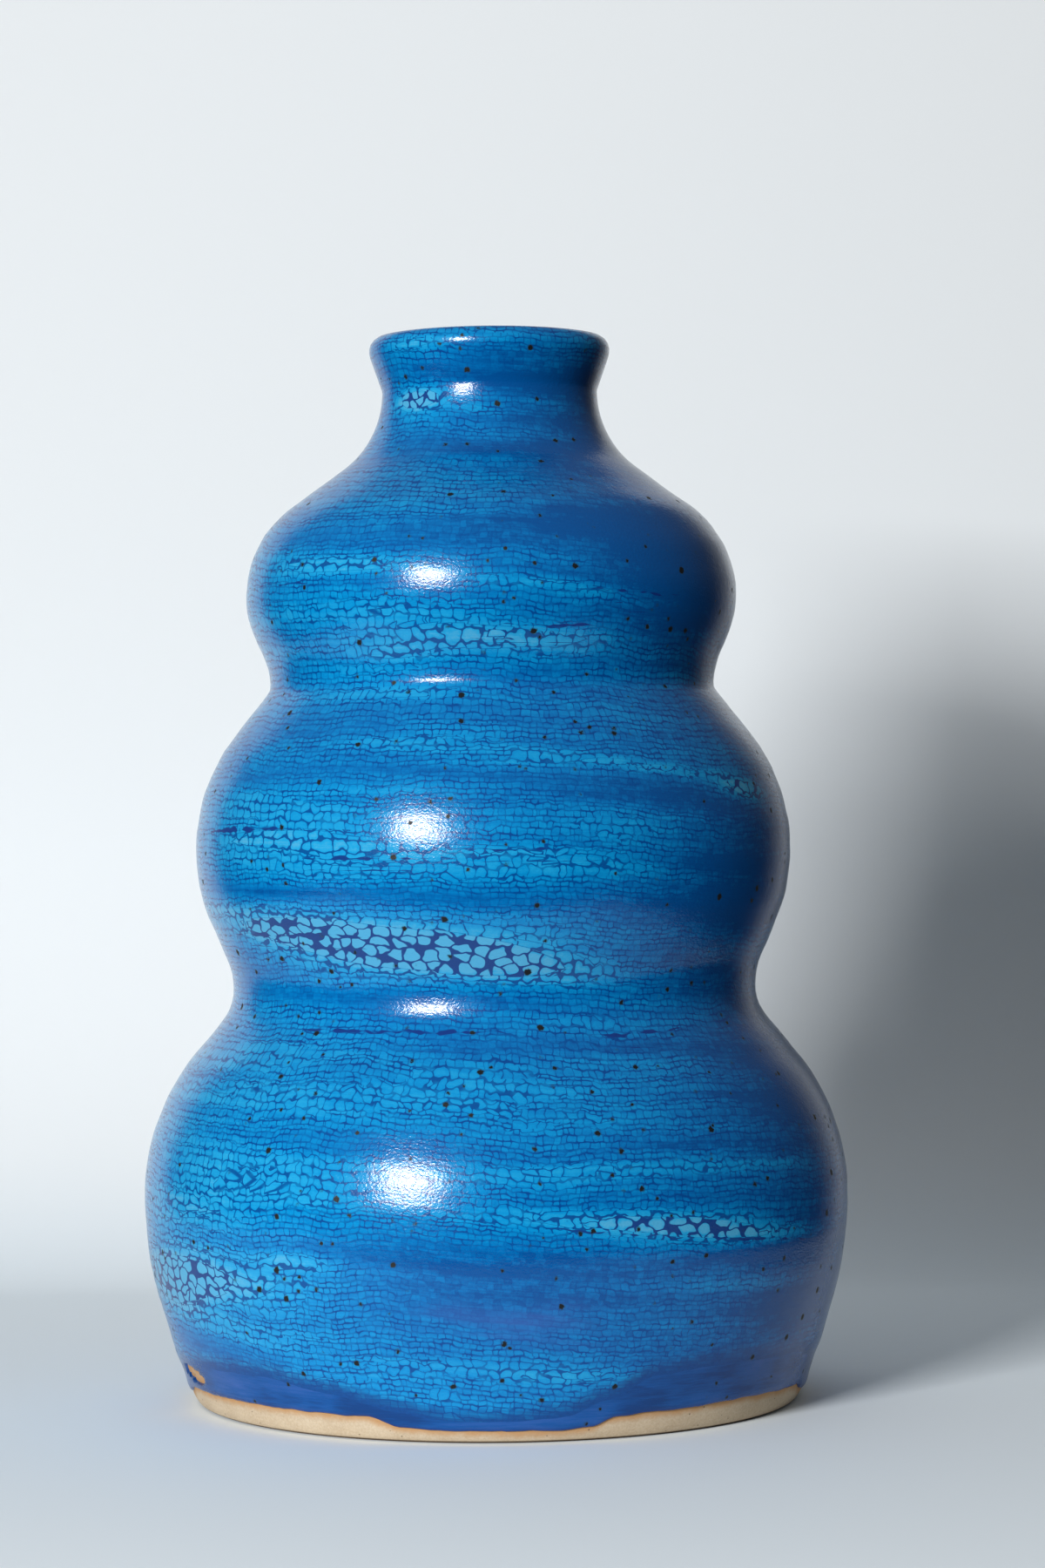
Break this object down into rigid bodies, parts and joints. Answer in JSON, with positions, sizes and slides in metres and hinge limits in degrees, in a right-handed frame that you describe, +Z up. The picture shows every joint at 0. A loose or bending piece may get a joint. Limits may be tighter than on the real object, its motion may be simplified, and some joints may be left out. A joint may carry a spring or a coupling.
{
  "type": "vase",
  "caption": "Wheel-thrown stoneware vase with three stacked lobes, a drawn-in neck, a rolled lip and a crackled blue glaze over a bare clay foot.",
  "frame": {"origin": "centre of the foot, on the plane that the vase stands on", "axes": "+Z up along the axis that the vase was thrown round; X and Y are any two level directions, with -Y towards the viewer of the picture"},
  "size_m": [0.1328, 0.1328, 0.2],
  "materials": {
    "stoneware": "unglazed, sandy",
    "liner_glaze": "gloss",
    "base_glaze": "gloss",
    "crackle_glaze": "gloss, crawled into cells"
  },
  "bodies": {
    "root": {"stoneware_body": "stoneware", "liner_glaze": "liner_glaze", "base_glaze": "base_glaze", "crackle_glaze": "crackle_glaze"}
  },
  "joints": []
}
